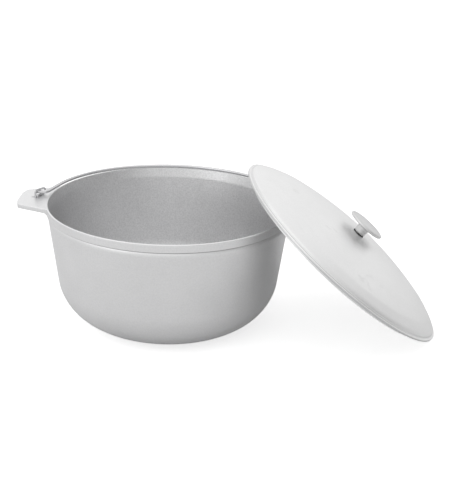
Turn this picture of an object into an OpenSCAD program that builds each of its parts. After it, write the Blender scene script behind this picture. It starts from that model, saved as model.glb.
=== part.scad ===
// Cast-aluminium cooking pot with two flat lugs, a folding wire bail and a loose domed lid
// that leans against the right lug. Origin: centre of the pot's base. +X runs through the right
// lug, +Z is up, and the bail lies folded towards +Y.

/* [Pot] */
// Inner radius of the mouth, at the lip
mouth_r = 180; // [150:1:220]
// Height of the pot, base to lip
pot_h = 186; // [155:1:225]
// Thickness of the cast wall
wall = 4; // [3:0.25:5]
// Thickness of the floor
floor_t = 5; // [4:0.5:7]
// How much the outer wall draws in between the rim band and the start of the base corner
wall_draft = 13.9; // [5:0.1:20]
// Height at which the wall turns into the rounded base corner
corner_h = 66; // [50:1:80]
// Width of the rounded corner, from the low wall in to the flat of the base
corner_w = 93; // [70:1:110]

/* [Rim] */
// Height of the thickened band under the lip
band_h = 12; // [8:0.5:16]
// How far the band stands out past the lip's inner edge
band_out = 2.6; // [2:0.1:4]
// How far the wall under the band lies outside the lip's inner edge
wall_out = 0.9; // [0.5:0.1:1.5]
// Height of the flared seat inside the lip
seat_h = 15; // [10:1:20]
// Rounding of the lip's outer top edge
lip_round = 0.8; // [0.4:0.1:1]

/* [Lugs] */
// How far each lug's end stands out past the lip's inner edge
lug_out = 45; // [38:1:55]
// Thickness of the lugs, whose tops are level with the lip
lug_t = 7; // [5:0.5:9]
// Width of the flat end of a lug
lug_end_w = 38; // [28:1:44]
// Width of a lug at its shoulders, where the corners are cut off
lug_shoulder_w = 69; // [56:1:78]
// Width of a lug at its root
lug_root_w = 118; // [96:1:130]
// How far the cut corners reach back from the lug's end
lug_corner = 4; // [2:0.5:8]
// How far the eye's hole lies outside the lip's inner edge
hole_out = 20; // [18:0.5:24]
// Diameter of the eye's hole
hole_d = 7.2; // [7:0.1:9]

/* [Handle eyes] */
// Wire diameter of an eye
eye_wire = 3; // [2.5:0.1:3.2]
// Length of the straight part of an eye's loop
eye_len = 15; // [12:0.5:18]
// How far along an eye's loop, from the middle of its hole, the bail's pin passes
pin_s = 9; // [8:0.5:10]
// Angle between an eye's loop and the hinge line
eye_turn = 58; // [50:1:75]
// Gap between an eye's lower strand and the lug
eye_lift = 0.1; // [0.1:0.1:0.6]
// Gap between the two legs in the hole
leg_gap = 0.4; // [0.2:0.1:0.6]
// Length of each bent-over foot under the lug
foot_len = 5; // [4:0.5:7]

/* [Bail] */
// Wire diameter of the bail
bail_wire = 5.2; // [4:0.1:5.5]
// Clearance above and below the bail's pin in an eye
pin_gap = 0.35; // [0.3:0.05:0.8]
// How far the middle of the bail's wire lies outside the lip's inner edge
bail_out = 0.5; // [0:0.25:3]
// Clearance between the folded bail and the lip
bail_rest_gap = 0.3; // [0.3:0.1:1.5]
// Angle from the hinge line at which the arc turns into a straight end
arc_start = 16; // [14:1:18]
// Radius, to the wire's middle, of the bend between a straight end and its pin
bend_r = 4; // [3:0.25:5]
// How far the pin stands out past the middle of the eye
pin_past = 6.5; // [5:0.5:8]
// How much wider than the wire the upset end of the pin is
head_extra = 1.2; // [0.8:0.1:1.5]

/* [Lid] */
// How far the lid's edge stands out past the lip's inner edge
lid_over = 8.3; // [5:0.1:10]
// Thickness of the lid's edge
lid_edge_t = 3.8; // [3:0.1:5]
// Width of the flat step inside the lid's edge
step_w = 5.6; // [4:0.1:8]
// Height of the shoulder between the step and the dome
shoulder_h = 5.8; // [4:0.1:8]
// Rise of the dome, from the top of the shoulder to the crown
dome_rise = 28.3; // [22:0.1:36]
// Thickness of the dome
lid_wall = 3.2; // [2.5:0.1:4]
// Depth of the ring under the lid that locates it in the mouth
ring_h = 5; // [4:0.5:8]
// Clearance between that ring and the mouth
ring_gap = 2.5; // [1.5:0.5:4]
// Thickness of that ring
ring_t = 3.2; // [2.5:0.1:4]
// Angle by which the leaning lid is tipped
lid_lean = 38.5; // [36:0.5:41]
// Gap between the leaning lid and what it rests on
lean_gap = 0.3; // [0.2:0.1:0.6]

/* [Knob] */
// Diameter of the knob's disc
knob_d = 59; // [50:1:70]
// Thickness of the disc at its edge
knob_edge_t = 4.4; // [3:0.2:6]
// Height of the stem
stem_h = 14.5; // [12:0.5:18]
// Diameter of the stem at its foot
stem_d = 17.6; // [15:0.2:20]
// Diameter of the stem under the disc
stem_top_d = 21; // [20:0.5:24]
// Thickness of the washer under the knob
knob_washer_t = 1; // [0.8:0.1:1.5]
// Diameter of the washer under the knob
knob_washer_d = 18.4; // [17.6:0.2:22]
// Diameter of the screw
screw_d = 6; // [5:0.5:6]
// Clearance all round the screw where it passes through the lid and the washers
screw_gap = 0.3; // [0.2:0.1:0.4]
// Diameter of the screw's head
screw_head_d = 12; // [10:0.5:13]
// Height of the screw's head
screw_head_h = 3.6; // [3:0.2:5]
// Length of thread inside the knob
thread_len = 12; // [9:0.5:13]
// Diameter of the washer under the screw's head
screw_washer_d = 18; // [15:0.5:20]
// Thickness of the washer under the screw's head
screw_washer_t = 1.2; // [0.8:0.1:2]

/* [Hidden] */
$fn = 96;
round_fn = 360;

band_r = mouth_r + band_out;
wall_top_r = mouth_r + wall_out;
wall_low_r = wall_top_r - wall_draft;
base_r = wall_low_r - corner_w;
corner_steps = 16;
// The corner's curve leaves the wall almost at once and runs long and flat into the base
corner_pull = 4;
corner_reach = 0.88 * corner_w;

hole_x = mouth_r + hole_out;
lug_end_x = mouth_r + lug_out;
// The lug's root lies inside the bowl's wall, where the bowl's hollow trims it
lug_root_x = mouth_r - 12;

// One eye, in its own plane: s runs along the loop from the middle of the hole
leg_s = (eye_wire + leg_gap) / 2;
low_z = eye_wire / 2 + eye_lift;
pin_h = low_z + eye_wire / 2 + pin_gap + bail_wire / 2;
high_z = pin_h + (pin_h - low_z);
foot_gap = 0.05;
foot_z = -lug_t - eye_wire / 2 - foot_gap;

hinge_y = pin_s * sin(eye_turn);
eye_x = hole_x - pin_s * cos(eye_turn);
hinge_z = pot_h + pin_h;
bail_r = mouth_r + bail_out;
// The folded bail hangs from its hinge line down to just above the lip
bail_drop = asin((pin_h - bail_wire / 2 - bail_rest_gap) / (bail_r - hinge_y));
// The straight stretches of the bail are drawn a hair thinner than its bends, and run this far into them
drawn = 0.1;
lap = 0.2;

lid_r = mouth_r + lid_over;
dome_r = lid_r - step_w;
sphere_r = (dome_r * dome_r + dome_rise * dome_rise) / (2 * dome_rise);
crown_z = lid_edge_t + shoulder_h + dome_rise;
sphere_z = crown_z - sphere_r;
ring_r = mouth_r - ring_gap;
// A flat of this radius on the crown, above and below, takes the washers
pad_r = 10.5;
pad_cut = 0.15;
pad_low_z = crown_z - lid_wall - 0.8;
seat_z = crown_z - pad_cut;

// The leaning lid's lowest edge is on the ground. Its dome's underside rests on what it meets first:
// the lug's end, or on a short lug the top of the eye or the end of the bail's pin
lid_z = lid_r * sin(lid_lean) + lean_gap;
lid_x = max(
    leaned_x(lug_end_x, pot_h, 0),
    leaned_x(hole_x + leg_s * cos(eye_turn), pot_h + high_z, eye_wire / 2),
    leaned_x(eye_x + pin_past, hinge_z, (bail_wire + head_extra) / 2));

knob_z = seat_z + knob_washer_t;
knob_crown = 1.2;
knob_round = knob_edge_t / 2;
washer_z = pad_low_z - screw_washer_t;

// Size of the cross recess in the screw's head
recess_l = 6;
recess_w = 1.2;
recess_h = 1.8;
// Clearance all round the screw inside the knob
thread_gap = 0.05;

cast_silver = [0.80, 0.80, 0.81];
steel = [0.70, 0.70, 0.72];

// Where the middle of the leaning lid is when its dome's underside rests on a ball of radius r at x, z
function leaned_x(x, z, r) =
    let (
        rise = z - lid_z - sphere_z * cos(lid_lean),
        reach = sphere_r - lid_wall - lean_gap - r
    )
    x - sphere_z * sin(lid_lean) - sqrt(reach * reach - rise * rise);

// A point on the cubic curve through p[0] and p[3], pulled by p[1] and p[2]
function curve_point(p, t) =
    pow(1 - t, 3) * p[0] + 3 * t * pow(1 - t, 2) * p[1] + 3 * t * t * (1 - t) * p[2] + pow(t, 3) * p[3];

// The base corner from the wall down to the flat, moved in by dr and up by dz
function corner_points(dr, dz) =
    let (
        slope = wall_draft / (pot_h - band_h - corner_h),
        p = [[wall_low_r - dr, corner_h],
             [wall_low_r - dr - corner_pull * slope, corner_h - corner_pull],
             [base_r + corner_reach - dr, dz],
             [base_r, dz]]
    )
    [for (i = [0 : corner_steps]) curve_point(p, i / corner_steps)];

module bowl_outer() {
    polygon(concat(
        [[0, 0], [0, pot_h], [band_r - lip_round, pot_h], [band_r, pot_h - lip_round],
         [band_r, pot_h - band_h + 0.8], [wall_top_r, pot_h - band_h]],
        corner_points(0, 0)));
}

module bowl_hollow() {
    seat_r = wall_top_r - wall - 0.2;
    polygon(concat(
        [[0, floor_t], [0, pot_h + 20], [mouth_r, pot_h + 20], [mouth_r, pot_h],
         [seat_r, pot_h - seat_h]],
        corner_points(wall, floor_t)));
}

module lug_plan() {
    polygon([[lug_root_x, -lug_root_w / 2], [lug_end_x - lug_corner, -lug_shoulder_w / 2],
             [lug_end_x, -lug_end_w / 2], [lug_end_x, lug_end_w / 2],
             [lug_end_x - lug_corner, lug_shoulder_w / 2], [lug_root_x, lug_root_w / 2]]);
}

module lug() {
    translate([0, 0, pot_h - lug_t])
        linear_extrude(lug_t)
            lug_plan();
}

module lug_hole() {
    translate([hole_x, 0, pot_h - lug_t - 1])
        cylinder(d = hole_d, h = lug_t + 2);
}

module pot_body() {
    color(cast_silver)
        difference() {
            union() {
                rotate_extrude($fn = round_fn)
                    bowl_outer();
                lug();
                mirror([1, 0, 0])
                    lug();
            }
            rotate_extrude($fn = round_fn)
                bowl_hollow();
            lug_hole();
            mirror([1, 0, 0])
                lug_hole();
        }
}

// A straight length of wire from a to b, with a ball at b that carries it round the next bend
module wire(a, b, d) {
    v = b - a;
    translate(a)
        rotate([0, acos(v[2] / norm(v)), atan2(v[1], v[0])])
            cylinder(d = d, h = norm(v), $fn = 32);
    translate(b)
        sphere(d = d, $fn = 32);
}

// The eye is a wire loop standing on the lug. Both its legs go down the hole and are bent over below
module handle_eye() {
    path = [[-leg_s - foot_len, 0, foot_z], [-leg_s, 0, foot_z], [-leg_s, 0, high_z], [eye_len, 0, high_z]];
    back = [[eye_len, 0, low_z], [leg_s, 0, low_z], [leg_s, 0, foot_z], [leg_s + foot_len, 0, foot_z]];
    color(steel)
        translate([hole_x, 0, pot_h])
            rotate([0, 0, 180 - eye_turn])
                union() {
                    for (i = [0 : len(path) - 2])
                        wire(path[i], path[i + 1], eye_wire);
                    for (i = [0 : len(back) - 2])
                        wire(back[i], back[i + 1], eye_wire);
                    translate([eye_len, 0, pin_h])
                        rotate([90, 0, 0])
                            rotate([0, 0, -90])
                                rotate_extrude(angle = 180, $fn = 64)
                                    translate([pin_h - low_z, 0])
                                        circle(d = eye_wire, $fn = 32);
                }
}

module right_handle_eye() {
    handle_eye();
}

module left_handle_eye() {
    mirror([1, 0, 0])
        handle_eye();
}

// One straight end of the bail and its pin, in the bail's own plane, measured from the hinge line
module bail_end() {
    start = [bail_r * cos(arc_start), bail_r * sin(arc_start) - hinge_y, 0];
    run = start[1] / cos(arc_start);
    knee = [start[0] + run * sin(arc_start), 0, 0];
    tip = [eye_x + pin_past, 0, 0];
    bend_reach = bend_r * tan((90 - arc_start) / 2);
    translate(start)
        rotate([90, 0, arc_start])
            translate([0, 0, -lap])
                cylinder(d = bail_wire - drawn, h = run - bend_reach + 2 * lap, $fn = 32);
    translate([knee[0] + bend_reach, bend_r, 0])
        rotate([0, 0, 180 + arc_start])
            rotate_extrude(angle = 90 - arc_start, $fn = round_fn)
                translate([bend_r, 0])
                    circle(d = bail_wire, $fn = 32);
    translate([knee[0] + bend_reach - lap, 0, 0])
        rotate([0, 90, 0])
            cylinder(d = bail_wire - drawn, h = tip[0] - knee[0] - bend_reach + lap, $fn = 32);
    translate(tip)
        sphere(d = bail_wire + head_extra, $fn = 32);
}

module bail_handle() {
    color(steel)
        translate([0, hinge_y, hinge_z])
            rotate([-bail_drop, 0, 0])
                union() {
                    translate([0, -hinge_y, 0])
                        rotate([0, 0, arc_start])
                            rotate_extrude(angle = 180 - 2 * arc_start, $fn = round_fn)
                                translate([bail_r, 0])
                                    circle(d = bail_wire, $fn = 32);
                    bail_end();
                    mirror([1, 0, 0])
                        bail_end();
                }
}

// Puts a piece of the lid, drawn flat about its own axis, where the leaning lid is
module leaning() {
    translate([lid_x, 0, lid_z])
        rotate([0, lid_lean, 0])
            children();
}

module lid_section() {
    difference() {
        union() {
            intersection() {
                translate([0, sphere_z])
                    circle(r = sphere_r, $fn = 1440);
                square([dome_r, crown_z + 1]);
            }
            square([lid_r, lid_edge_t]);
            translate([0, -ring_h])
                square([ring_r, ring_h + 1]);
        }
        intersection() {
            translate([0, sphere_z])
                circle(r = sphere_r - lid_wall, $fn = 1440);
            translate([0, -ring_h - 1])
                square([ring_r - ring_t, crown_z + ring_h + 2]);
        }
        translate([dome_r - 0.01, lid_edge_t])
            square([step_w + 1, shoulder_h + dome_rise]);
        translate([0, seat_z])
            square([pad_r, 1]);
    }
    translate([0, pad_low_z])
        square([pad_r, seat_z - pad_low_z]);
}

module lid_plate() {
    color(cast_silver)
        leaning()
            difference() {
                rotate_extrude($fn = round_fn)
                    lid_section();
                translate([0, 0, pad_low_z - 1])
                    cylinder(d = screw_d + 2 * screw_gap, h = lid_wall + 4);
            }
}

module lid_knob() {
    top = stem_h + knob_edge_t;
    color(cast_silver)
        leaning()
            translate([0, 0, knob_z])
                difference() {
                    rotate_extrude($fn = round_fn) {
                        polygon([[0, 0], [stem_d / 2, 0], [stem_top_d / 2, stem_h - 0.5],
                                 [stem_top_d / 2 + 1, stem_h], [knob_d / 2 - knob_round, stem_h],
                                 [knob_d / 2 - knob_round, top], [knob_d / 4, top + 0.75 * knob_crown],
                                 [0, top + knob_crown]]);
                        translate([knob_d / 2 - knob_round, stem_h + knob_round])
                            circle(r = knob_round, $fn = 48);
                    }
                    translate([0, 0, -1])
                        cylinder(d = screw_d + 2 * thread_gap, h = thread_len + 2);
                }
}

module washer(z, d, t) {
    leaning()
        translate([0, 0, z])
            difference() {
                cylinder(d = d, h = t);
                translate([0, 0, -1])
                    cylinder(d = screw_d + 2 * screw_gap, h = t + 2);
            }
}

module knob_washer() {
    color([0.15, 0.15, 0.15])
        washer(seat_z, knob_washer_d, knob_washer_t);
}

module screw_washer() {
    color(steel)
        washer(washer_z, screw_washer_d, screw_washer_t);
}

module knob_screw() {
    shank = knob_z + thread_len - washer_z;
    color(steel)
        leaning()
            translate([0, 0, washer_z - screw_head_h])
                difference() {
                    union() {
                        cylinder(d = screw_head_d, h = screw_head_h);
                        cylinder(d = screw_d, h = screw_head_h + shank);
                    }
                    // Cross recess
                    for (turn = [0, 90])
                        rotate([0, 0, turn])
                            translate([-recess_l / 2, -recess_w / 2, -1])
                                cube([recess_l, recess_w, recess_h + 1]);
                }
}

pot_body();
left_handle_eye();
right_handle_eye();
bail_handle();
lid_plate();
lid_knob();
knob_washer();
knob_screw();
screw_washer();
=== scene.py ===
from math import asin, cos, hypot, pi, radians, sin, sqrt, tan

import bmesh
import bpy
import numpy as np
from mathutils import Matrix, Vector


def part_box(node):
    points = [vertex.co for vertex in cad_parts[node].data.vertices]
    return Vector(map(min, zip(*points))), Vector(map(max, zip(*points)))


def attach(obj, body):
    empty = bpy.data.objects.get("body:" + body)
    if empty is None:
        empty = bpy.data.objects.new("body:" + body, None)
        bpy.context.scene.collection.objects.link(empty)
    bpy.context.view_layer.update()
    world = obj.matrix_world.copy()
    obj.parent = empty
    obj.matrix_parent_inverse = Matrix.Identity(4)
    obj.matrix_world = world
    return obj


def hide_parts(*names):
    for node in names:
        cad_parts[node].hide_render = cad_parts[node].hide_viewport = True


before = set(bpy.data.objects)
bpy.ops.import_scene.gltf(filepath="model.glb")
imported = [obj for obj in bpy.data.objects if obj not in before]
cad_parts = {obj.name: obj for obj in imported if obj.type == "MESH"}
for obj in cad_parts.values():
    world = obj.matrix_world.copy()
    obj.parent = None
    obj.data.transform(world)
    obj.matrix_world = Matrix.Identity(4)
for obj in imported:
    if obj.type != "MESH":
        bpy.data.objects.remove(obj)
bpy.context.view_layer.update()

MM = 0.001

# ---------------------------------------------------------------- sizes, in millimetres

pot_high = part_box("pot_body")[1]
POT_H = pot_high.z / MM
LUG_END_X = pot_high.x / MM

MOUTH_R = 180.0
WALL = 4.0
FLOOR_T = 5.0
BAND_H = 12.0
BAND_R = MOUTH_R + 2.6
WALL_TOP_R = MOUTH_R + 0.9
WALL_LOW_R = WALL_TOP_R - 13.9
CORNER_H = 66.0
CORNER_W = 93.0
BASE_R = WALL_LOW_R - CORNER_W
CORNER_PULL = 4.0
CORNER_REACH = 0.88 * CORNER_W
CORNER_STEPS = 30
FLAT_RINGS = (12, 40, 62)
POT_COLUMNS = 288
SEAT_H = 15.0
SEAT_R = WALL_TOP_R - WALL - 0.2

LUG_T = 7.0
LUG_END_W = 38.0
LUG_SHOULDER_W = 69.0
LUG_ROOT_W = 118.0
LUG_CORNER = 4.0
LUG_ROOT_X = MOUTH_R - 12.0
HOLE_X = MOUTH_R + 20.0
HOLE_R = 3.6

EYE_WIRE_R = 1.5
EYE_LEN = 15.0
EYE_TURN = radians(58.0)
LEG_S = 1.7
EYE_LOW = 1.6
EYE_HIGH = 10.5
PIN_H = (EYE_LOW + EYE_HIGH) / 2
EYE_BEND = (EYE_HIGH - EYE_LOW) / 2
FOOT_LEN = 5.0
FOOT_GAP = 0.05
FOOT_Z = -LUG_T - EYE_WIRE_R - FOOT_GAP
FOOT_BEND = 1.4
LEG_TOP_BEND = 3.2
LEG_ROOT_BEND = 1.55
EYE_SIDES = 20

BAIL_WIRE_R = 2.6
BAIL_R = MOUTH_R + 0.5
BAIL_GAP = 0.3
ARC_START = radians(16.0)
PIN_S = 0.6 * EYE_LEN
HINGE_Y = PIN_S * sin(EYE_TURN)
EYE_X = HOLE_X - PIN_S * cos(EYE_TURN)
HINGE_Z = POT_H + PIN_H
BAIL_DROP = asin((PIN_H - BAIL_WIRE_R - BAIL_GAP) / (BAIL_R - HINGE_Y))
PIN_END_X = EYE_X + 6.5
HEAD_R = BAIL_WIRE_R + 0.6
HEAD_HALF = 1.5
BAIL_BEND = 4.0
BAIL_SIDES = 24
BAIL_STEPS = 150

LID_R = MOUTH_R + 8.3
LID_EDGE_T = 3.8
STEP_W = 5.6
SHOULDER_H = 5.8
DOME_RISE = 28.3
LID_WALL = 3.2
RING_H = 5.0
RING_R = MOUTH_R - 2.5
RING_T = 3.2
LID_LEAN = radians(38.5)
LEAN_GAP = 0.3
DOME_R = LID_R - STEP_W
SPHERE_R = (DOME_R ** 2 + DOME_RISE ** 2) / (2 * DOME_RISE)
CROWN_Z = LID_EDGE_T + SHOULDER_H + DOME_RISE
SPHERE_Z = CROWN_Z - SPHERE_R
PAD_R = 10.5
PAD_LOW_Z = CROWN_Z - LID_WALL - 0.8
SEAT_Z = CROWN_Z - 0.15
LID_Z = LID_R * sin(LID_LEAN) + LEAN_GAP
TIP_RISE = POT_H - LID_Z - SPHERE_Z * cos(LID_LEAN)
INNER_R = SPHERE_R - LID_WALL - LEAN_GAP
LID_X = LUG_END_X - SPHERE_Z * sin(LID_LEAN) - sqrt(INNER_R ** 2 - TIP_RISE ** 2)
LID_COLUMNS = 288

KNOB_Z = SEAT_Z + 1.0
KNOB_R = 29.5
KNOB_EDGE_T = 4.4
STEM_H = 14.5
STEM_R = 8.8
STEM_TOP_R = 10.5
KNOB_CROWN = 1.2
SCREW_R = 3.0
SCREW_GAP = 0.3
KNOB_COLUMNS = 128

# Moves what is drawn about the lid's own axis to where the leaning lid is
LEANING = Matrix.Translation((LID_X * MM, 0, LID_Z * MM)) @ Matrix.Rotation(LID_LEAN, 4, "Y")


# ---------------------------------------------------------------- meshes

def mesh_object(name, verts, faces):
    mesh = bpy.data.meshes.new(name)
    mesh.from_pydata([tuple(v) for v in verts], [], faces)
    mesh.validate()
    obj = bpy.data.objects.new(name, mesh)
    bpy.context.scene.collection.objects.link(obj)
    return obj


def finish_mesh(obj, doubles=1e-6):
    """Merges doubles, turns the faces outwards and shades them smooth."""
    bm = bmesh.new()
    bm.from_mesh(obj.data)
    bmesh.ops.remove_doubles(bm, verts=bm.verts, dist=doubles)
    bmesh.ops.dissolve_degenerate(bm, edges=bm.edges, dist=doubles / 10)
    bmesh.ops.recalc_face_normals(bm, faces=bm.faces)
    bm.to_mesh(obj.data)
    bm.free()
    obj.data.polygons.foreach_set("use_smooth", [True] * len(obj.data.polygons))
    obj.data.update()
    return obj


def grid_mesh(name, rows, transform=None):
    """A closed shell of rings. rows is (rings, columns, 3) in millimetres, from one pole to the other."""
    rows = np.asarray(rows) * MM
    count, cols = rows.shape[:2]
    verts = list(rows.reshape(-1, 3))
    faces = []
    for i in range(count - 1):
        for j in range(cols):
            k = (j + 1) % cols
            faces.append((i * cols + j, i * cols + k, (i + 1) * cols + k, (i + 1) * cols + j))
    for ring, first in ((0, 0), (count - 1, (count - 1) * cols)):
        pole = len(verts)
        verts.append(rows[ring].mean(axis=0))
        for j in range(cols):
            faces.append((first + j, first + (j + 1) % cols, pole))
    obj = mesh_object(name, verts, faces)
    if transform is not None:
        obj.data.transform(transform)
    return finish_mesh(obj)


def revolve(profile, cols):
    """Rings from a list of (radius, height)."""
    turn = np.linspace(0, 2 * pi, cols, endpoint=False)
    radius = np.array([p[0] for p in profile])[:, None]
    height = np.array([p[1] for p in profile])[:, None]
    return np.stack([radius * np.cos(turn), radius * np.sin(turn), height + 0 * turn], axis=2)


def arc(centre_r, centre_z, radius, start, end, steps):
    """Points of a round stretch of a profile, by angles in degrees from the outward direction."""
    angles = np.radians(np.linspace(start, end, steps + 1))
    return [(centre_r + radius * cos(a), centre_z + radius * sin(a)) for a in angles]


def line(start, end, steps):
    """Points between two profile points, without the first."""
    return [(start[0] + (end[0] - start[0]) * i / steps, start[1] + (end[1] - start[1]) * i / steps)
            for i in range(1, steps + 1)]


def curve(p0, p1, p2, p3, steps):
    """Points of the cubic curve between p0 and p3."""
    points = []
    for i in range(steps + 1):
        t = i / steps
        u = 1 - t
        points.append(tuple(u ** 3 * a + 3 * t * u ** 2 * b + 3 * t * t * u * c + t ** 3 * d
                            for a, b, c, d in zip(p0, p1, p2, p3)))
    return points


def cut(obj, cutter):
    """Takes cutter out of obj and deletes cutter."""
    mod = obj.modifiers.new("cut", "BOOLEAN")
    mod.operation = "DIFFERENCE"
    mod.solver = "EXACT"
    mod.object = cutter
    graph = bpy.context.evaluated_depsgraph_get()
    mesh = bpy.data.meshes.new_from_object(obj.evaluated_get(graph))
    obj.modifiers.clear()
    obj.data = mesh
    bpy.data.objects.remove(cutter)
    return obj


# ---------------------------------------------------------------- pot body

def smooth_max(a, b, k):
    """The larger of two values, rounded over k where they are close."""
    h = np.maximum(k - np.abs(a - b), 0)
    return np.maximum(a, b) + h * h / (4 * k)


def smooth_min(a, b, k):
    return -smooth_max(-a, -b, k)


def edge_reach(turn, a, b):
    """Distance from the pot's axis to the straight lug edge through a and b, along each turn."""
    normal = Vector((b[1] - a[1], a[0] - b[0])).normalized()
    if normal.dot(Vector(a)) < 0:
        normal = -normal
    toward = np.cos(turn) * normal[0] + np.sin(turn) * normal[1]
    return normal.dot(Vector(a)) / np.maximum(toward, 0.05)


def rim_reach(turn):
    """Outer radius of the rim and its lugs at each turn, with rounded lug corners and filleted roots."""
    fold = np.abs(np.arctan2(np.sin(turn), np.cos(turn)))
    fold = np.minimum(fold, pi - fold)
    root = (LUG_ROOT_X, LUG_ROOT_W / 2)
    shoulder = (LUG_END_X - LUG_CORNER, LUG_SHOULDER_W / 2)
    corner = (LUG_END_X, LUG_END_W / 2)
    end = LUG_END_X / np.cos(np.minimum(fold, 1.2))
    side = edge_reach(fold, root, shoulder)
    bevel = edge_reach(fold, shoulder, corner)
    lug = smooth_min(smooth_min(side, bevel, 0.7), end, 0.7)
    lug = np.where(fold > 0.9, 0.0, lug)
    return smooth_max(np.full_like(lug, BAND_R), lug, 3.0)


def pot_columns():
    """Turns of the pot's columns: even all round, and close together across the lugs."""
    even = np.linspace(-pi, pi, POT_COLUMNS, endpoint=False)
    lug_half = radians(26)
    close = np.linspace(-lug_half, lug_half, 105)
    near = np.abs(np.arctan2(np.sin(even), np.cos(even))) < lug_half + 0.01
    far = np.abs(np.arctan2(np.sin(even + pi), np.cos(even + pi))) < lug_half + 0.01
    turns = np.concatenate([even[~(near | far)], close, close + pi])
    return np.sort(np.mod(turns, 2 * pi))


def pot_rows():
    turn = pot_columns()
    reach = rim_reach(turn)
    out = reach - BAND_R
    lugness = np.clip(out / 6.0, 0, 1)
    lugness = lugness * lugness * (3 - 2 * lugness)
    slope = (WALL_TOP_R - WALL_LOW_R) / (POT_H - BAND_H - CORNER_H)
    rows = []

    def ring(radius, height):
        rows.append(np.stack([radius * np.cos(turn), radius * np.sin(turn), height + 0 * turn], axis=1))

    def corner(inset, lift):
        return curve((WALL_LOW_R - inset, CORNER_H),
                     (WALL_LOW_R - inset - CORNER_PULL * slope, CORNER_H - CORNER_PULL),
                     (BASE_R + CORNER_REACH - inset, lift), (BASE_R, lift), CORNER_STEPS)

    top = POT_H
    under = top - BAND_H
    for radius in FLAT_RINGS:
        ring(radius, 0.0)
    for radius, height in reversed(corner(0, 0.0)):
        ring(radius, height)
    for radius, height in line((WALL_LOW_R, CORNER_H), (WALL_TOP_R - 0.1, under - 1.0), 14):
        ring(radius, height)
    # The band's lower edge: a small hollow against the wall, then the overhanging step
    ring(WALL_TOP_R - 0.35, under - 0.75)
    ring(WALL_TOP_R - 0.75, under - 0.35)
    ring(WALL_TOP_R - 0.75, under + 0.0)
    ring(WALL_TOP_R - 0.35, under + 0.2)
    ring(WALL_TOP_R + 0.35, under + 0.12)
    ring(BAND_R - 0.7, under + 0.1)
    ring(BAND_R - 0.25, under + 0.3)
    ring(BAND_R, under + 0.75)
    # The band's face, which the lugs' undersides grow out of with a fillet
    fillet = 4.0
    bottom = top - LUG_T
    for a in np.radians(np.linspace(0, 90, 7)):
        offset = np.minimum(fillet * (1 - cos(a)), np.maximum(out - 1.2, 0))
        lug_z = bottom - fillet + fillet * sin(a)
        band_z = under + 1.0 + 1.4 * a
        ring(BAND_R + offset, band_z + (lug_z - band_z) * lugness)
    for share in (0.35, 0.7, 1.0):
        offset = np.minimum(fillet, np.maximum(out - 1.2, 0))
        offset = offset + (np.maximum(out - 1.2, 0) - offset) * share
        band_z = under + 3.2 + 1.6 * share
        ring(BAND_R + offset, band_z + (bottom - band_z) * lugness)
    edge = 1.2
    for a in np.radians((22.5, 45, 67.5, 90)):
        offset = np.maximum(out - edge + edge * sin(a), 0)
        lug_z = bottom + edge * (1 - cos(a))
        band_z = under + 4.8 + 0.9 * a
        ring(BAND_R + offset, band_z + (lug_z - band_z) * lugness)
    soft = 0.8 + 0.4 * lugness
    ring(reach, top - soft - 2.0)
    for a in np.radians((0, 22.5, 45, 67.5, 90)):
        ring(reach - soft + soft * cos(a), top - soft + soft * sin(a))
    land = BAND_R - 1.0
    for share in (0.33, 0.66):
        ring((reach - soft) + (land - reach + soft) * share, top + 0.0)
    ring(land, top)
    lip = 0.5
    for a in np.radians((90, 120, 150, 180)):
        ring(MOUTH_R + lip + lip * cos(a), top - lip + lip * sin(a))
    for radius, height in line((MOUTH_R, top - lip), (SEAT_R, top - SEAT_H), 6):
        ring(radius, height)
    ring(SEAT_R - 0.12, top - SEAT_H - 1.0)
    for radius, height in line((SEAT_R - 0.3, top - SEAT_H - 2.2), (WALL_LOW_R - WALL, CORNER_H), 14):
        ring(radius, height)
    for radius, height in corner(WALL, FLOOR_T)[1:]:
        ring(radius, height)
    for radius in reversed(FLAT_RINGS):
        ring(radius, FLOOR_T)
    return np.array(rows)


def make_pot():
    pot = grid_mesh("pot", pot_rows())
    past = 2
    for side in (-1, 1):
        drill = revolve([(0.01, -LUG_T - past), (HOLE_R, -LUG_T - past), (HOLE_R, past), (0.01, past)], 40)
        cutter = grid_mesh("drill", drill, Matrix.Translation((side * HOLE_X * MM, 0, POT_H * MM)))
        cut(pot, cutter)
    finish_mesh(pot)
    # The inside's coarser grain, and the painted shade that darkens it, go by this mark: the faces that look
    # at the axis, and the floor
    mark = pot.data.attributes.new("inside", "FLOAT", "POINT")
    for vertex in pot.data.vertices:
        x, y, z = vertex.co
        radial = (vertex.normal.x * x + vertex.normal.y * y) / max(hypot(x, y), 1e-6)
        low = z < pot_high.z / 2 and vertex.normal.z > 0.2
        mark.data[vertex.index].value = 1.0 if radial < -0.2 or low else 0.0
    return pot


# ---------------------------------------------------------------- lid and knob

def dome(radius, inset):
    return SPHERE_Z + sqrt((SPHERE_R - inset) ** 2 - radius ** 2)


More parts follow.
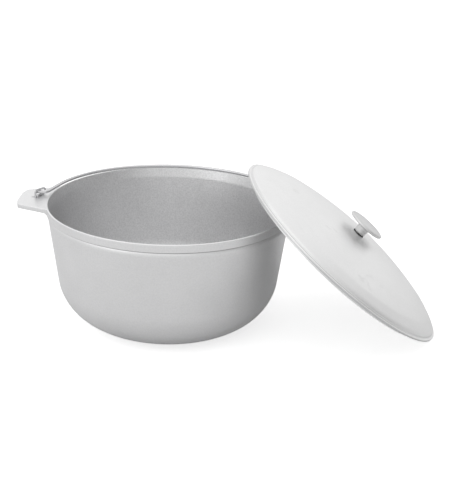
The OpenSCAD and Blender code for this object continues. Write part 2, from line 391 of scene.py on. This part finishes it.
def lid_profile():
    ring_in = RING_R - RING_T
    inner = [(r, dome(r, LID_WALL)) for r in np.linspace(PAD_R + 1.2, ring_in - 5, 40)]
    soft = 1.0
    points = [(SCREW_R + SCREW_GAP, PAD_LOW_Z), (PAD_R - 0.3, PAD_LOW_Z), (PAD_R, PAD_LOW_Z + 0.3)]
    points += inner
    # The dome's underside turns down into the locating ring
    root = inner[-1]
    points += curve(root, (root[0] + 3.0, root[1] - 0.9), (ring_in, root[1] - 2.0),
                    (ring_in, root[1] - 5.0), 6)[1:]
    points += [(ring_in, -RING_H + 0.8)]
    points += arc(ring_in + 0.8, -RING_H + 0.8, 0.8, 180, 270, 4)
    points += arc(RING_R - 0.8, -RING_H + 0.8, 0.8, 270, 360, 4)
    points += [(RING_R, -0.6)]
    points += arc(RING_R + 0.6, -0.6, 0.6, 180, 90, 3)
    points += [(LID_R - soft - 1.5, 0.0)]
    points += arc(LID_R - soft, soft, soft, 270, 360, 5)
    points += arc(LID_R - 0.9, LID_EDGE_T - 0.9, 0.9, 0, 90, 5)
    # The flat step, the rounded foot of the shoulder, the shoulder and its round into the dome
    foot = 1.2
    points += [(DOME_R + 0.8 + foot, LID_EDGE_T)]
    points += arc(DOME_R + 0.8 + foot, LID_EDGE_T + foot, foot, 270, 205, 4)
    top = LID_EDGE_T + SHOULDER_H
    points += curve((DOME_R + 0.75, LID_EDGE_T + 1.6), (DOME_R - 0.4, top - 1.6), (DOME_R - 7, top + 0.6),
                    (DOME_R - 20, dome(DOME_R - 20, 0)), 14)
    points += [(r, dome(r, 0)) for r in np.linspace(DOME_R - 24, PAD_R + 0.3, 42)]
    points += [(PAD_R, SEAT_Z + 0.02), (PAD_R - 0.4, SEAT_Z), (SCREW_R + SCREW_GAP, SEAT_Z)]
    return points


def tube_mesh(name, profile, cols, transform):
    """A revolved piece with a hole down its axis: the profile goes round it and closes on itself."""
    rings = revolve(profile, cols) * MM
    count = len(profile)
    verts = list(rings.reshape(-1, 3))
    faces = []
    for i in range(count):
        n = (i + 1) % count
        for j in range(cols):
            k = (j + 1) % cols
            faces.append((i * cols + j, i * cols + k, n * cols + k, n * cols + j))
    obj = mesh_object(name, verts, faces)
    obj.data.transform(transform)
    return finish_mesh(obj)


def knob_profile():
    top = STEM_H + KNOB_EDGE_T
    soft = KNOB_EDGE_T / 2
    bore = SCREW_R + 0.05
    points = [(bore, 13.0), (bore, 0.4), (bore + 0.4, 0.0), (STEM_R - 0.4, 0.0), (STEM_R, 0.4)]
    points += line((STEM_R, 0.4), (STEM_TOP_R - 0.4, STEM_H - 2.2), 5)
    points += curve((STEM_TOP_R - 0.3, STEM_H - 1.6), (STEM_TOP_R, STEM_H - 0.3), (STEM_TOP_R + 0.3, STEM_H),
                    (STEM_TOP_R + 1.8, STEM_H), 5)
    points += line((STEM_TOP_R + 1.8, STEM_H), (KNOB_R - soft, STEM_H), 4)
    points += arc(KNOB_R - soft, STEM_H + soft, soft, 270, 450, 14)[1:]
    # A fine turned groove runs round the top, just inside the rounded edge
    groove = KNOB_R - 4.6
    points += [(groove + 0.6, top + 0.02), (groove + 0.25, top - 0.22), (groove - 0.25, top - 0.22),
               (groove - 0.6, top + 0.05)]
    for share in np.linspace(0.15, 1.0, 8):
        radius = (groove - 0.6) * (1 - share)
        points.append((max(radius, 0.02), top + KNOB_CROWN * (1 - (radius / groove) ** 2)))
    points += [(0.02, 13.0)]
    return points


# ---------------------------------------------------------------- wire pieces

def wire_sweep_tree():
    """Geometry Nodes that sweep a round wire along a chain of edges."""
    tree = bpy.data.node_groups.new("sweep wire", "GeometryNodeTree")
    face = tree.interface
    face.new_socket("Geometry", in_out="INPUT", socket_type="NodeSocketGeometry")
    for label, kind, value in (("Wire radius", "NodeSocketFloat", 0.002), ("Sides", "NodeSocketInt", 24),
                               ("Finish", "NodeSocketMaterial", None)):
        socket = face.new_socket(label, in_out="INPUT", socket_type=kind)
        if value is not None:
            socket.default_value = value
    face.new_socket("Geometry", in_out="OUTPUT", socket_type="NodeSocketGeometry")
    nodes, links = tree.nodes, tree.links
    given = nodes.new("NodeGroupInput")
    path = nodes.new("GeometryNodeMeshToCurve")
    ring = nodes.new("GeometryNodeCurvePrimitiveCircle")
    sweep = nodes.new("GeometryNodeCurveToMesh")
    sweep.inputs["Fill Caps"].default_value = True
    smooth = nodes.new("GeometryNodeSetShadeSmooth")
    real = nodes.new("GeometryNodeRealizeInstances")
    finish = nodes.new("GeometryNodeSetMaterial")
    result = nodes.new("NodeGroupOutput")
    links.new(given.outputs["Geometry"], path.inputs[0])
    links.new(given.outputs["Wire radius"], ring.inputs["Radius"])
    links.new(given.outputs["Sides"], ring.inputs["Resolution"])
    links.new(path.outputs[0], sweep.inputs["Curve"])
    links.new(ring.outputs[0], sweep.inputs["Profile Curve"])
    links.new(sweep.outputs[0], smooth.inputs["Geometry"])
    links.new(smooth.outputs[0], real.inputs[0])
    links.new(real.outputs[0], finish.inputs["Geometry"])
    links.new(given.outputs["Finish"], finish.inputs["Material"])
    links.new(finish.outputs[0], result.inputs[0])
    return tree


def swept_wire(name, points, radius, sides, material):
    """A plain mesh of wire along points, in millimetres, made by the sweep tree."""
    mesh = bpy.data.meshes.new(name)
    edges = [(i, i + 1) for i in range(len(points) - 1)]
    mesh.from_pydata([tuple(Vector(p) * MM) for p in points], edges, [])
    obj = bpy.data.objects.new(name, mesh)
    bpy.context.scene.collection.objects.link(obj)
    tree = bpy.data.node_groups.get("sweep wire") or wire_sweep_tree()
    mod = obj.modifiers.new("sweep", "NODES")
    mod.node_group = tree
    given = {s.name: s.identifier for s in tree.interface.items_tree if s.in_out == "INPUT"}
    mod[given["Wire radius"]] = radius * MM
    mod[given["Sides"]] = sides
    mod[given["Finish"]] = material
    graph = bpy.context.evaluated_depsgraph_get()
    made = bpy.data.meshes.new_from_object(obj.evaluated_get(graph))
    obj.modifiers.clear()
    obj.data = made
    return finish_mesh(obj)


def bent(points, radii, step=0.6):
    """A wire's path: straight runs between points, with each inner corner bent to its radius."""
    points = [Vector(p) for p in points]
    path = [points[0]]
    for i in range(1, len(points) - 1):
        before = (points[i - 1] - points[i]).normalized()
        after = (points[i + 1] - points[i]).normalized()
        half = before.angle(after) / 2
        reach = radii[i - 1] / tan(half)
        middle = (before + after).normalized()
        centre = points[i] + middle * (radii[i - 1] / sin(half))
        start = points[i] + before * reach - centre
        end = points[i] + after * reach - centre
        axis = start.cross(end).normalized()
        sweep = start.angle(end)
        steps = max(4, int(sweep * radii[i - 1] / step))
        for k in range(steps + 1):
            path.append(centre + Matrix.Rotation(sweep * k / steps, 3, axis) @ start)
    path.append(points[-1])
    return path


def bail_path():
    """The bail's centre line from pin to pin, in its folded place."""
    start = Vector((BAIL_R * cos(ARC_START), BAIL_R * sin(ARC_START) - HINGE_Y, 0))
    knee = Vector((start.x + start.y / cos(ARC_START) * sin(ARC_START), 0, 0))
    end = bent([(PIN_END_X, 0, 0), knee, start], [BAIL_BEND])
    arc_points = []
    for i in range(1, BAIL_STEPS):
        turn = ARC_START + (pi - 2 * ARC_START) * i / BAIL_STEPS
        arc_points.append(Vector((BAIL_R * cos(turn), BAIL_R * sin(turn) - HINGE_Y, 0)))
    other = [Vector((-p.x, p.y, p.z)) for p in reversed(end)]
    tip = Matrix.Rotation(-BAIL_DROP, 3, "X")
    return [tip @ p + Vector((0, HINGE_Y, HINGE_Z)) for p in end + arc_points + other]


def eye_path():
    """One handle eye's centre line: up a leg, over, round the end, back and down the other leg."""
    corners = [(-LEG_S - FOOT_LEN, 0, FOOT_Z), (-LEG_S, 0, FOOT_Z), (-LEG_S, 0, EYE_HIGH),
               (EYE_LEN + EYE_BEND, 0, EYE_HIGH), (EYE_LEN + EYE_BEND, 0, EYE_LOW), (LEG_S, 0, EYE_LOW),
               (LEG_S, 0, FOOT_Z), (LEG_S + FOOT_LEN, 0, FOOT_Z)]
    # The far end's two bends stay a hair short of a full half circle, so that they don't run together
    end_bend = EYE_BEND - 0.02
    path = bent(corners, [FOOT_BEND, LEG_TOP_BEND, end_bend, end_bend, LEG_ROOT_BEND, FOOT_BEND], 0.4)
    place = Matrix.Translation((HOLE_X, 0, POT_H)) @ Matrix.Rotation(pi - EYE_TURN, 4, "Z")
    return [place @ p for p in path]


def pin_head(side):
    """The upset end of the bail's pin, flattened a little like a hammered wire end."""
    points = [(0.02, -HEAD_HALF)] + arc(HEAD_R - 0.9, -HEAD_HALF + 0.9, 0.9, 270, 360, 5)
    points += arc(HEAD_R - 1.0, HEAD_HALF - 1.0, 1.0, 0, 90, 5) + [(0.02, HEAD_HALF)]
    place = Matrix.Translation((side * PIN_END_X * MM, HINGE_Y * MM, HINGE_Z * MM))
    return grid_mesh("pin_head", revolve(points, 32), place @ Matrix.Rotation(pi / 2, 4, "Y"))


def join(name, pieces):
    """One object from several, keeping their meshes where they are."""
    bm = bmesh.new()
    for piece in pieces:
        bm.from_mesh(piece.data)
    mesh = bpy.data.meshes.new(name)
    bm.to_mesh(mesh)
    bm.free()
    for material in pieces[0].data.materials:
        mesh.materials.append(material)
    for piece in pieces:
        bpy.data.objects.remove(piece)
    obj = bpy.data.objects.new(name, mesh)
    bpy.context.scene.collection.objects.link(obj)
    obj.data.polygons.foreach_set("use_smooth", [True] * len(obj.data.polygons))
    return obj


# ---------------------------------------------------------------- finishes

def add(nodes, kind, **values):
    """A shader node with its inputs set by name."""
    node = nodes.new(kind)
    for key, value in values.items():
        label = key.replace("_", " ")
        if label in node.inputs:
            node.inputs[label].default_value = value
        else:
            setattr(node, key, value)
    return node


def noise(nodes, links, vector, scale, detail, low, high, rough=0.6):
    """A cloudy value between low and high."""
    cloud = add(nodes, "ShaderNodeTexNoise", Scale=scale, Detail=detail, Roughness=rough)
    links.new(vector, cloud.inputs["Vector"])
    ranged = add(nodes, "ShaderNodeMapRange")
    ranged.inputs["From Min"].default_value = 0.3
    ranged.inputs["From Max"].default_value = 0.7
    ranged.inputs["To Min"].default_value = low
    ranged.inputs["To Max"].default_value = high
    links.new(cloud.outputs["Fac"], ranged.inputs["Value"])
    return ranged.outputs["Result"], cloud.outputs["Fac"]


def times(nodes, links, first, second):
    """The product of two values, each a number or a node's output."""
    product = add(nodes, "ShaderNodeMath", operation="MULTIPLY")
    for value, socket in ((first, product.inputs[0]), (second, product.inputs[1])):
        if isinstance(value, float):
            socket.default_value = value
        else:
            links.new(value, socket)
    return product.outputs["Value"]


def ramp(nodes, links, value, start, end, low=0.0, high=1.0):
    """A smooth change from low to high as value goes from start to end."""
    ranged = add(nodes, "ShaderNodeMapRange", interpolation_type="SMOOTHSTEP")
    ranged.inputs["From Min"].default_value = start
    ranged.inputs["From Max"].default_value = end
    ranged.inputs["To Min"].default_value = low
    ranged.inputs["To Max"].default_value = high
    links.new(value, ranged.inputs["Value"])
    return ranged.outputs["Result"]


def metal(name, tint, roughness, grain=0.0022, depth=0.0002, blotch=0.025, speckle=0.02, turned=0.0,
          axis=None, extra=None):
    """A satin metal. grain is the size of its blasted grain in metres and depth how deep that is. blotch
    is how unevenly it reflects at large, and speckle at the grain's own size. turned is how deep the fine
    rings left by the lathe are, about the pot's axis or about axis. extra may darken the colour further."""
    mat = bpy.data.materials.new(name)
    mat.use_nodes = True
    nodes, links = mat.node_tree.nodes, mat.node_tree.links
    shader = nodes["Principled BSDF"]
    shader.inputs["Metallic"].default_value = 1.0
    where = add(nodes, "ShaderNodeTexCoord")
    place = add(nodes, "ShaderNodeMapping")
    if axis is not None:
        inverse = axis.inverted()
        place.inputs["Location"].default_value = inverse.to_translation()
        place.inputs["Rotation"].default_value = inverse.to_euler()
    links.new(where.outputs["Object"], place.inputs["Vector"])
    here = place.outputs["Vector"]

    split = add(nodes, "ShaderNodeSeparateXYZ")
    links.new(here, split.inputs["Vector"])
    flat = add(nodes, "ShaderNodeCombineXYZ")
    links.new(split.outputs["X"], flat.inputs["X"])
    links.new(split.outputs["Y"], flat.inputs["Y"])
    reach = add(nodes, "ShaderNodeVectorMath", operation="LENGTH")
    links.new(flat.outputs["Vector"], reach.inputs[0])

    # Broad cloudy patches and the grain itself shift the colour a little, the patches the gloss too
    patch, cloud = noise(nodes, links, here, 14.0, 4.0, 1.0 - blotch, 1.0 + blotch * 0.5)
    dots, speck = noise(nodes, links, here, 1.0 / grain, 2.0, 1.0 - speckle, 1.0 + speckle)
    shade = times(nodes, links, patch, dots)
    if extra is not None:
        # extra darkens the colour with painted shade as well as real marks
        shade_and_marks = extra(nodes, links, split.outputs["Z"], reach.outputs["Value"], here)
        shade = times(nodes, links, shade, shade_and_marks)
    colour = add(nodes, "ShaderNodeVectorMath", operation="SCALE")
    colour.inputs[0].default_value = tint
    links.new(shade, colour.inputs["Scale"])
    links.new(colour.outputs["Vector"], shader.inputs["Base Color"])
    gloss, _ = noise(nodes, links, here, 31.0, 3.0, roughness * 0.93, roughness * 1.08)
    links.new(gloss, shader.inputs["Roughness"])

    bump = add(nodes, "ShaderNodeBump", Strength=1.0, Distance=depth)
    links.new(speck, bump.inputs["Height"])
    last = bump
    if turned > 0:
        rings = add(nodes, "ShaderNodeCombineXYZ")
        links.new(reach.outputs["Value"], rings.inputs["X"])
        links.new(split.outputs["Z"], rings.inputs["Y"])
        lathe = add(nodes, "ShaderNodeTexNoise", Scale=900.0, Detail=2.0, Roughness=0.5)
        links.new(rings.outputs["Vector"], lathe.inputs["Vector"])
        groove = add(nodes, "ShaderNodeBump", Strength=1.0, Distance=turned)
        links.new(lathe.outputs["Fac"], groove.inputs["Height"])
        links.new(bump.outputs["Normal"], groove.inputs["Normal"])
        last = groove
    links.new(last.outputs["Normal"], shader.inputs["Normal"])
    return mat


def pot_painted_shade_and_grain(nodes, links, height, reach, here):
    """Painted shade in the corner under the rim band, and the coarser, duller grain of the pot's inside,
    painted darker as well for the shade inside the pot.
    """
    # Painted shade: a dark, patchy line in the corner under the rim band, where shade falls
    under = (POT_H - BAND_H) * MM
    below = ramp(nodes, links, height, under - 0.0016, under - 0.0002)
    above = ramp(nodes, links, height, under + 0.0009, under + 0.0002)
    outside = ramp(nodes, links, reach, (WALL_TOP_R - 2.0) * MM, (WALL_TOP_R - 1.0) * MM)
    near = ramp(nodes, links, reach, (BAND_R + 1.0) * MM, BAND_R * MM)
    painted_crease_shade = times(nodes, links, times(nodes, links, below, above), times(nodes, links, outside, near))
    patchy, _ = noise(nodes, links, here, 40.0, 3.0, 0.75, 1.0)
    painted_groove_shade = ramp(nodes, links, times(nodes, links, painted_crease_shade, patchy), 0.0, 1.0, 1.0, 0.5)
    # Inside the pot the colour is darker: real coarser grain, plus painted shade for the shade inside the
    # hollow
    inside = add(nodes, "ShaderNodeAttribute", attribute_name="inside").outputs["Fac"]
    coarse_grain_and_shade, _ = noise(nodes, links, here, 420.0, 2.0, 0.82, 1.0, 0.7)
    mixed = add(nodes, "ShaderNodeMix", data_type="FLOAT")
    links.new(inside, mixed.inputs[0])
    mixed.inputs[2].default_value = 1.0
    links.new(coarse_grain_and_shade, mixed.inputs[3])
    return times(nodes, links, painted_groove_shade, mixed.outputs[0])


def rubber(name):
    """A matt black rubber with a fine speckle."""
    mat = bpy.data.materials.new(name)
    mat.use_nodes = True
    nodes, links = mat.node_tree.nodes, mat.node_tree.links
    shader = nodes["Principled BSDF"]
    where = add(nodes, "ShaderNodeTexCoord")
    speck = add(nodes, "ShaderNodeTexNoise", Scale=1800.0, Detail=3.0)
    links.new(where.outputs["Object"], speck.inputs["Vector"])
    shade = add(nodes, "ShaderNodeValToRGB")
    shade.color_ramp.elements[0].color = (0.012, 0.012, 0.012, 1)
    shade.color_ramp.elements[1].color = (0.035, 0.034, 0.033, 1)
    links.new(speck.outputs["Fac"], shade.inputs["Fac"])
    links.new(shade.outputs["Color"], shader.inputs["Base Color"])
    bump = add(nodes, "ShaderNodeBump", Strength=0.6, Distance=0.0001)
    links.new(speck.outputs["Fac"], bump.inputs["Height"])
    links.new(bump.outputs["Normal"], shader.inputs["Normal"])
    shader.inputs["Roughness"].default_value = 0.6
    return mat


def lid_painted_shade_and_smudges(nodes, links, height, reach, here):
    """Painted shade on the lid's edge wall and in the crease at the shoulder's foot, and faint smudges on
    the dome.
    """
    # Painted shade: the edge wall, which faces sideways, is darker than the top
    wall = ramp(nodes, links, reach, (LID_R - 1.4) * MM, (LID_R - 0.2) * MM)
    low = ramp(nodes, links, height, (LID_EDGE_T - 0.2) * MM, (LID_EDGE_T - 1.6) * MM)
    edge = ramp(nodes, links, times(nodes, links, wall, low), 0.0, 1.0, 1.0, 0.74)
    # Painted shade: a fine dark line in the crease at the foot of the shoulder
    foot = ramp(nodes, links, reach, (DOME_R + 3.2) * MM, (DOME_R + 1.6) * MM)
    inner = ramp(nodes, links, reach, (DOME_R - 0.6) * MM, (DOME_R + 0.9) * MM)
    painted_crease_shade = ramp(nodes, links, times(nodes, links, foot, inner), 0.0, 1.0, 1.0, 0.9)
    _, cloud = noise(nodes, links, here, 23.0, 4.0, 0.0, 1.0)
    smudge = ramp(nodes, links, cloud, 0.64, 0.74, 1.0, 0.93)
    return times(nodes, links, times(nodes, links, edge, painted_crease_shade), smudge)


POT_METAL = metal("cast aluminium, pot", (0.83, 0.83, 0.835), 0.38, speckle=0.03, turned=0.00003,
                  extra=pot_painted_shade_and_grain)
# The lid's tint is set lighter than the pot's as painted light for its tilted top
LID_METAL = metal("cast aluminium, lid", (0.87, 0.87, 0.87), 0.42, depth=0.00012, blotch=0.03,
                  turned=0.00002, axis=LEANING, extra=lid_painted_shade_and_smudges)
KNOB_METAL = metal("turned aluminium, knob", (0.70, 0.70, 0.70), 0.36, grain=0.0006, depth=0.00003,
                   speckle=0.01, turned=0.00004, axis=LEANING)
WIRE_METAL = metal("steel wire", (0.68, 0.68, 0.69), 0.26, grain=0.0007, depth=0.00002, blotch=0.05)
SCREW_METAL = metal("plated screw steel", (0.55, 0.55, 0.56), 0.3, grain=0.0005, depth=0.00002,
                    blotch=0.08)
WASHER_RUBBER = rubber("black rubber")


# ---------------------------------------------------------------- the pieces

def place(piece, body, slot, nodes, material):
    """Gives a finished piece its material, puts it under its body and hides the CAD parts it takes the place
    of.
    """
    piece.data.materials.clear()
    piece.data.materials.append(material)
    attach(piece, body)
    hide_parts(*nodes)


pot = make_pot()
pot.name = "pot_casting"
place(pot, "pot", "cast_aluminium", ["pot_body"], POT_METAL)

for node, side in (("left_handle_eye", -1), ("right_handle_eye", 1)):
    path = [Vector((side * p.x, p.y, p.z)) for p in eye_path()]
    eye = swept_wire(node + "_wire", path, EYE_WIRE_R, EYE_SIDES, WIRE_METAL)
    place(eye, "pot", "handle_steel", [node], WIRE_METAL)

bail = swept_wire("bail_run", bail_path(), BAIL_WIRE_R, BAIL_SIDES, WIRE_METAL)
bail = join("bail_wire", [bail, pin_head(-1), pin_head(1)])
place(bail, "bail", "handle_steel", ["bail_handle"], WIRE_METAL)

lid = tube_mesh("lid_casting", lid_profile(), LID_COLUMNS, LEANING)
place(lid, "lid", "lid_aluminium", ["lid_plate"], LID_METAL)

knob_place = LEANING @ Matrix.Translation((0, 0, KNOB_Z * MM))
knob = tube_mesh("knob_turning", knob_profile(), KNOB_COLUMNS, knob_place)
place(knob, "lid", "knob_aluminium", ["lid_knob"], KNOB_METAL)

fixings = (("knob_washer", WASHER_RUBBER), ("knob_screw", SCREW_METAL), ("screw_washer", SCREW_METAL))
for node, material in fixings:
    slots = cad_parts[node].data.materials
    slots.clear()
    slots.append(material)


# ---------------------------------------------------------------- camera, floor and light

def look(right, up, back, eye):
    """The place and turn of a camera at eye, from its own three directions."""
    turn = Matrix((right, up, back)).transposed().to_4x4()
    return Matrix.Translation(eye) @ turn


def make_camera():
    """A long lens from the front, a little to the right, looking down at the pot."""
    data = bpy.data.cameras.new("camera")
    data.lens = 68.64
    data.sensor_width = 36.0
    down = radians(21.33)
    lean = radians(-2.11)
    swing = radians(0.24)
    right = Vector((1, 0, 0))
    up = Vector((0, sin(down), cos(down)))
    ahead = Vector((0, cos(down), -sin(down)))
    tipped = right * cos(lean) - up * sin(lean)
    up = right * sin(lean) + up * cos(lean)
    right = tipped * cos(swing) + ahead * sin(swing)
    ahead = ahead * cos(swing) - tipped * sin(swing)
    camera = bpy.data.objects.new("camera", data)
    camera.matrix_world = look(right, up, -ahead, Vector((0.0919, -1.3676, 0.6427)))
    bpy.context.scene.collection.objects.link(camera)
    bpy.context.scene.camera = camera


def make_floor():
    """A wide, matt, pale floor that looks white to the camera and a little darker in reflections."""
    mesh = bpy.data.meshes.new("floor")
    half = 12.0
    corners = [(-half, -half, 0), (half, -half, 0), (half, half, 0), (-half, half, 0)]
    mesh.from_pydata(corners, [], [(0, 1, 2, 3)])
    floor = bpy.data.objects.new("floor", mesh)
    bpy.context.scene.collection.objects.link(floor)
    mat = bpy.data.materials.new("pale floor")
    mat.use_nodes = True
    nodes, links = mat.node_tree.nodes, mat.node_tree.links
    matte = nodes["Principled BSDF"]
    matte.inputs["Base Color"].default_value = (0.74, 0.74, 0.74, 1)
    matte.inputs["Roughness"].default_value = 0.9
    matte.inputs["Specular IOR Level"].default_value = 0.0
    glow = add(nodes, "ShaderNodeEmission", Strength=0.66)
    seen = add(nodes, "ShaderNodeAddShader")
    chosen = add(nodes, "ShaderNodeMixShader")
    rays = add(nodes, "ShaderNodeLightPath")
    links.new(matte.outputs["BSDF"], seen.inputs[0])
    links.new(glow.outputs["Emission"], seen.inputs[1])
    links.new(rays.outputs["Is Camera Ray"], chosen.inputs["Fac"])
    links.new(matte.outputs["BSDF"], chosen.inputs[1])
    links.new(seen.outputs["Shader"], chosen.inputs[2])
    links.new(chosen.outputs["Shader"], nodes["Material Output"].inputs["Surface"])
    floor.data.materials.append(mat)


def softbox(name, at, target, size, power):
    """A rectangular soft lamp at a point, turned to face target."""
    data = bpy.data.lights.new(name, "AREA")
    data.shape = "RECTANGLE"
    data.size, data.size_y = size
    data.energy = power
    lamp = bpy.data.objects.new(name, data)
    lamp.location = at
    lamp.rotation_euler = (Vector(target) - Vector(at)).to_track_quat("-Z", "Y").to_euler()
    bpy.context.scene.collection.objects.link(lamp)


def make_light():
    """An even, pale surround that is dimmer to the right, with two large soft lamps."""
    bright, dim = 0.97, 0.42
    world = bpy.data.worlds.new("studio")
    world.use_nodes = True
    nodes, links = world.node_tree.nodes, world.node_tree.links
    sky = nodes["Background"]
    sky.inputs["Color"].default_value = (1, 1, 1, 1)
    where = add(nodes, "ShaderNodeTexCoord")
    side = add(nodes, "ShaderNodeVectorMath", operation="DOT_PRODUCT")
    side.inputs[1].default_value = (1.0, 0.0, -0.25)
    links.new(where.outputs["Generated"], side.inputs[0])
    split = add(nodes, "ShaderNodeSeparateXYZ")
    links.new(where.outputs["Generated"], split.inputs["Vector"])
    # Behind the pot the surround stays bright further round to the right
    back = times(nodes, links, ramp(nodes, links, split.outputs["Y"], 0.0, 1.0), -0.5)
    shift = add(nodes, "ShaderNodeMath", operation="ADD")
    links.new(side.outputs["Value"], shift.inputs[0])
    links.new(back, shift.inputs[1])
    level = ramp(nodes, links, shift.outputs["Value"], 0.05, 1.0, bright, dim)
    # What the camera sees past the floor's edge is plain white
    rays = add(nodes, "ShaderNodeLightPath")
    chosen = add(nodes, "ShaderNodeMix", data_type="FLOAT")
    chosen.inputs[3].default_value = 1.0
    links.new(rays.outputs["Is Camera Ray"], chosen.inputs[0])
    links.new(level, chosen.inputs[2])
    links.new(chosen.outputs[0], sky.inputs["Strength"])
    bpy.context.scene.world = world
    softbox("overhead", (0.0, -0.2, 2.4), (0.1, 0, 0.1), (2.4, 2.0), 4)
    softbox("front left", (-1.7, -1.6, 1.1), (0, 0, 0.1), (1.4, 1.6), 4)


bpy.context.scene.view_settings.view_transform = "Standard"
make_camera()
make_floor()
make_light()
